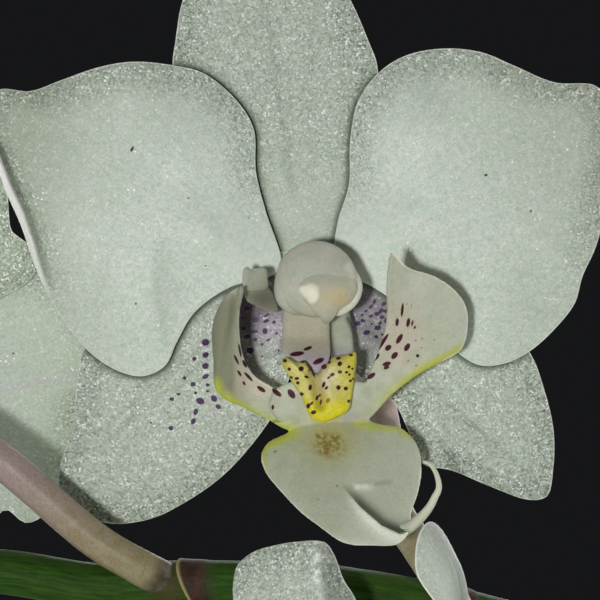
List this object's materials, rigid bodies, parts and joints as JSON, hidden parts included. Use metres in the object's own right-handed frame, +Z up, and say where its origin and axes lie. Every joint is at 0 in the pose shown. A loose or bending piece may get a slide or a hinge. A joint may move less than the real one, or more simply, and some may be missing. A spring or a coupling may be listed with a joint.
{
  "type": "potted miniature moth orchid",
  "caption": "Miniature moth orchid in a ceramic pot: an arched flower spike with open white blooms and buds over fleshy leaves and bark.",
  "frame": {"origin": "centre of the pot's underside, on the surface that the pot stands on", "axes": "+Z up; the main bloom faces -Y; +X to its viewer's right"},
  "size_m": [0.166, 0.122, 0.2078],
  "materials": {
    "pot_glaze": "gloss",
    "bark": "matte",
    "leaf": "satin",
    "root": "matte",
    "spike": "satin",
    "tepal": "satin",
    "column": "satin",
    "lip": "satin",
    "callus": "satin",
    "pedicel": "satin",
    "bud": "satin"
  },
  "bodies": {
    "root": {"pot": "pot_glaze", "potting_medium": "bark", "stem": "leaf", "aerial_root_1": "root", "aerial_root_2": "root", "aerial_root_3": "root", "aerial_root_4": "root", "leaf_1": "leaf", "leaf_2": "leaf", "leaf_3": "leaf", "leaf_4": "leaf", "leaf_5": "leaf", "flower_spike": "spike", "bloom_1_dorsal_sepal": "tepal", "bloom_1_lateral_sepal_left": "tepal", "bloom_1_lateral_sepal_right": "tepal", "bloom_1_petal_left": "tepal", "bloom_1_petal_right": "tepal", "bloom_1_column": "column", "bloom_1_lip": "lip", "bloom_1_callus": "callus", "pedicel_1": "pedicel", "bloom_2_dorsal_sepal": "tepal", "bloom_2_lateral_sepal_left": "tepal", "bloom_2_lateral_sepal_right": "tepal", "bloom_2_petal_left": "tepal", "bloom_2_petal_right": "tepal", "bloom_2_column": "column", "bloom_2_lip": "lip", "bloom_2_callus": "callus", "pedicel_2": "pedicel", "bloom_3_dorsal_sepal": "tepal", "bloom_3_lateral_sepal_left": "tepal", "bloom_3_lateral_sepal_right": "tepal", "bloom_3_petal_left": "tepal", "bloom_3_petal_right": "tepal", "bloom_3_column": "column", "bloom_3_lip": "lip", "bloom_3_callus": "callus", "pedicel_3": "pedicel", "bloom_4_dorsal_sepal": "tepal", "bloom_4_lateral_sepal_left": "tepal", "bloom_4_lateral_sepal_right": "tepal", "bloom_4_petal_left": "tepal", "bloom_4_petal_right": "tepal", "bloom_4_column": "column", "bloom_4_lip": "lip", "bloom_4_callus": "callus", "pedicel_4": "pedicel", "bud_1": "bud", "bud_2": "bud", "bud_3": "bud"}
  },
  "joints": []
}
